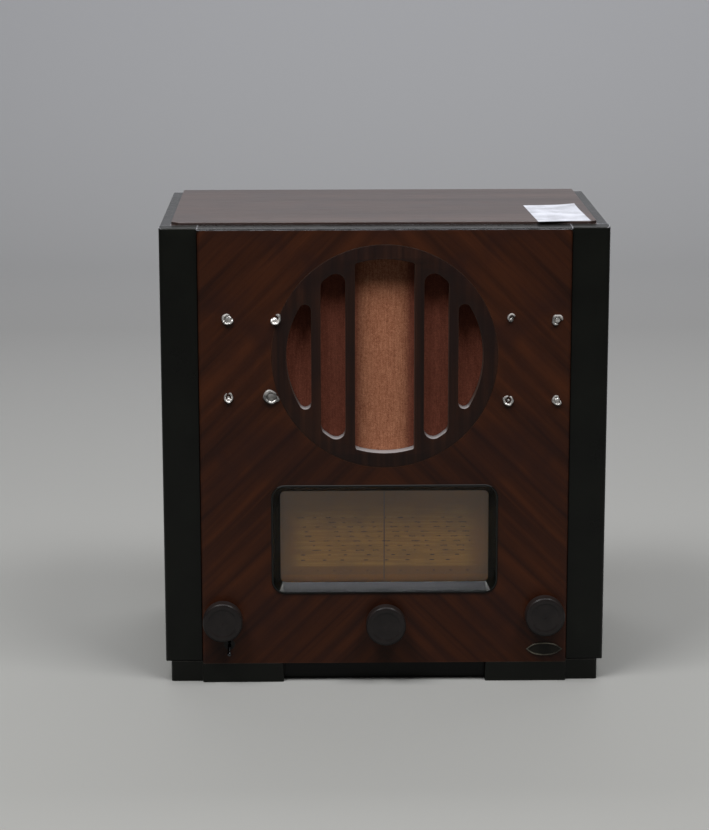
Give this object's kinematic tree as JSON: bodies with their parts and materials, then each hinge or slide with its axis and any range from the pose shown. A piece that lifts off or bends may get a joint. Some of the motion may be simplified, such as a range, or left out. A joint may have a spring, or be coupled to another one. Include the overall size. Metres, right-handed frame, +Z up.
{
  "type": "table radio receiver",
  "caption": "Upright wooden table radio with a round slotted loudspeaker grille, a wide glazed tuning dial, three round control knobs, a small toggle lever and corner feet.",
  "frame": {"origin": "on the surface that the feet stand on, below the middle of the whole width and depth", "axes": "+X to the right of someone facing the front, +Y towards the rear, +Z up"},
  "size_m": [0.4, 0.271, 0.4205],
  "materials": {
    "black_lacquer": "gloss lacquer over plywood",
    "top_veneer": "worn gloss veneer",
    "walnut_veneer": "gloss-varnished figured veneer",
    "grille_veneer": "gloss-varnished straight-grained veneer",
    "plain_board": "unfinished plywood",
    "pressboard": "pressed fibre board",
    "speaker_fabric": "woven loudspeaker cloth",
    "black_enamel": "black stove enamel",
    "cone_paper": "pressed paper pulp",
    "copper": "enamelled copper wire",
    "winding_paper": "waxed paper and core",
    "bezel_plastic": "moulded, glossy",
    "clear_glass": "clear glass",
    "dial_card": "printed dial sheet",
    "plated_steel": "cadmium-plated steel",
    "pointer_black": "black paint",
    "lamp_brass": "plain brass",
    "drive_cord_yarn": "waxed braided cord",
    "bare_aluminium": "bare aluminium",
    "knob_bakelite": "dark brown phenolic",
    "brown_laminate": "brown phenolic laminate",
    "black_moulding": "black phenolic",
    "dark_metal": "blackened steel",
    "black_rubber": "black rubber",
    "fixing_brass": "tarnished plated brass"
  },
  "bodies": {
    "cabinet": {"side_panel_left": "black_lacquer", "side_panel_right": "black_lacquer", "corner_post_left": "black_lacquer", "corner_post_right": "black_lacquer", "top_panel": "top_veneer", "front_top_rail": "black_lacquer", "base_board": "plain_board", "front_panel": "walnut_veneer", "grille_disc": "grille_veneer", "plinth_rail": "black_lacquer", "foot_front_left": "black_lacquer", "foot_front_right": "black_lacquer", "rear_feet": "black_lacquer", "speaker_cloth": "speaker_fabric", "speaker_baffle": "plain_board", "speaker_basket": "black_enamel", "speaker_surround": "cone_paper", "speaker_magnet": "black_enamel", "dial_bezel": "bezel_plastic", "dial_glass": "clear_glass", "dial_scale": "dial_card", "dial_frame": "plated_steel", "dial_lamps": "lamp_brass", "drive_cord": "drive_cord_yarn", "gang_stators": "bare_aluminium", "gang_frame": "plated_steel", "volume_control": "plated_steel", "band_switch": "brown_laminate", "tone_switch": "black_moulding", "chassis": "plated_steel", "mains_transformer": "black_enamel", "transformer_winding": "winding_paper", "output_transformer": "winding_paper", "smoothing_capacitors": "bare_aluminium", "coil_cans": "bare_aluminium", "valve_sockets": "brown_laminate", "valve_bases": "black_moulding", "mixer_valve": "clear_glass", "detector_valve": "clear_glass", "output_valve": "clear_glass", "rectifier_valve": "clear_glass", "rear_terminals": "brown_laminate", "mains_grommet": "black_rubber", "back_cover": "pressboard", "front_fixings": "fixing_brass", "cabinet_screws": "plated_steel"},
    "gang": {"gang_rotor": "bare_aluminium", "drive_drum": "bare_aluminium"},
    "pointer": {"dial_pointer": "pointer_black"},
    "pulley_left": {"cord_pulley_left": "lamp_brass"},
    "pulley_right": {"cord_pulley_right": "lamp_brass"},
    "tuning": {"tuning_shaft": "plated_steel", "tuning_knob": "knob_bakelite"},
    "volume": {"volume_shaft": "plated_steel", "volume_knob": "knob_bakelite"},
    "waveband": {"band_shaft": "plated_steel", "band_knob": "knob_bakelite"},
    "toggle": {"tone_lever": "dark_metal"},
    "cone": {"speaker_cone": "cone_paper", "voice_coil": "copper"}
  },
  "joints": [
    {"name": "gang_turn", "type": "hinge", "parent": "cabinet", "child": "gang", "pos_m": [0, -0.0925, 0.13], "axis": [0, 1, 0], "range_deg": [-90, 90]},
    {"name": "tuning_turn", "type": "hinge", "parent": "cabinet", "child": "tuning", "pos_m": [0.1455, -0.1225, 0.064], "axis": [0, 1, 0], "range_deg": [-1080, 1080]},
    {"name": "pointer_slide", "type": "slide", "parent": "cabinet", "child": "pointer", "axis": [1, 0, 0], "range_m": [-0.081, 0.081]},
    {"name": "pulley_left_turn", "type": "hinge", "parent": "cabinet", "child": "pulley_left", "pos_m": [-0.095, -0.0925, 0.183], "axis": [0, 1, 0], "range_deg": [-612, 612]},
    {"name": "pulley_right_turn", "type": "hinge", "parent": "cabinet", "child": "pulley_right", "pos_m": [0.095, -0.0925, 0.183], "axis": [0, 1, 0], "range_deg": [-612, 612]},
    {"name": "volume_turn", "type": "hinge", "parent": "cabinet", "child": "volume", "pos_m": [-0.147, -0.1225, 0.0605], "axis": [0, 1, 0], "range_deg": [0, 300]},
    {"name": "waveband_turn", "type": "hinge", "parent": "cabinet", "child": "waveband", "pos_m": [0.001, -0.1225, 0.057], "axis": [0, 1, 0], "range_deg": [-30, 30]},
    {"name": "toggle_flip", "type": "hinge", "parent": "cabinet", "child": "toggle", "pos_m": [-0.1415, -0.1135, 0.036], "axis": [-1, 0, 0], "range_deg": [0, 44]},
    {"name": "cone_travel", "type": "slide", "parent": "cabinet", "child": "cone", "axis": [0, 1, 0], "range_m": [-0.001, 0.001], "stiffness_N_per_m": 2000}
  ],
  "couplings": [
    {"joint": "tuning_turn", "follows": "gang_turn", "ratio": 12},
    {"joint": "pointer_slide", "follows": "gang_turn", "m_per_rad": 0.051},
    {"joint": "pulley_left_turn", "follows": "gang_turn", "ratio": 6.8},
    {"joint": "pulley_right_turn", "follows": "gang_turn", "ratio": 6.8}
  ]
}
